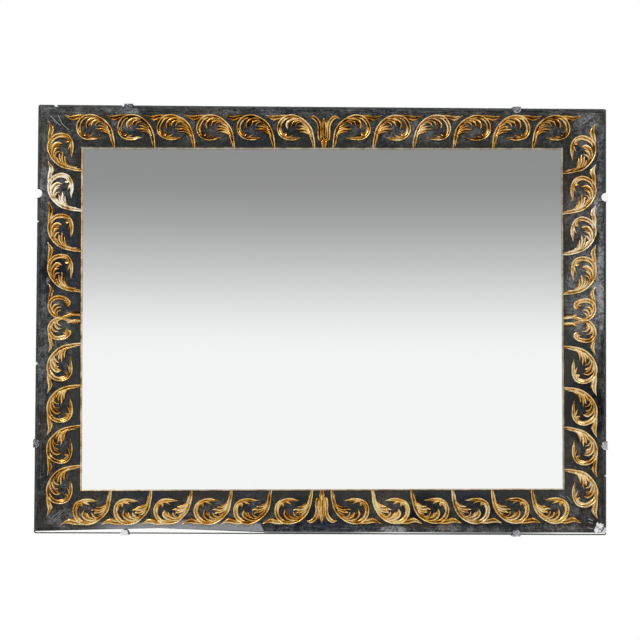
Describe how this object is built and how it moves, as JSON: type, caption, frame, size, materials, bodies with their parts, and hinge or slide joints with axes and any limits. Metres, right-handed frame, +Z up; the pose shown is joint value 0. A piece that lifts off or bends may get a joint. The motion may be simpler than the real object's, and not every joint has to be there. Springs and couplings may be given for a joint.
{
  "type": "wall mirror",
  "caption": "Landscape wall mirror: a bevelled glass sheet whose dark border carries a gilt relief of acanthus scrolls and tulips, held to a backing board by edge clips.",
  "frame": {"origin": "middle of the backing board's back face, where it lies against the wall", "axes": "+Y from the mirror's front into the wall, +Z up, +X along the long side, to the right of someone who looks at the front"},
  "size_m": [1.2072, 0.021, 0.9072],
  "materials": {
    "backing_wood": "plain, unpolished plywood, aged brown",
    "mirror_glass": "polished glass, silvered behind the middle and dark, clouded and worn behind the border, with a polished bevel all round",
    "old_gilding": "old gilding over a carved relief, bright on the ridges and brown in the hollows",
    "chromed_strip": "polished, lightly scratched"
  },
  "bodies": {
    "root": {"backing_board": "backing_wood", "mirror_plate": "mirror_glass", "gilt_ornament": "old_gilding", "clip_top_left": "chromed_strip", "clip_top_right": "chromed_strip", "clip_bottom_left": "chromed_strip", "clip_bottom_right": "chromed_strip", "clip_left_upper": "chromed_strip", "clip_left_lower": "chromed_strip", "clip_right_upper": "chromed_strip", "clip_right_lower": "chromed_strip"}
  },
  "joints": []
}
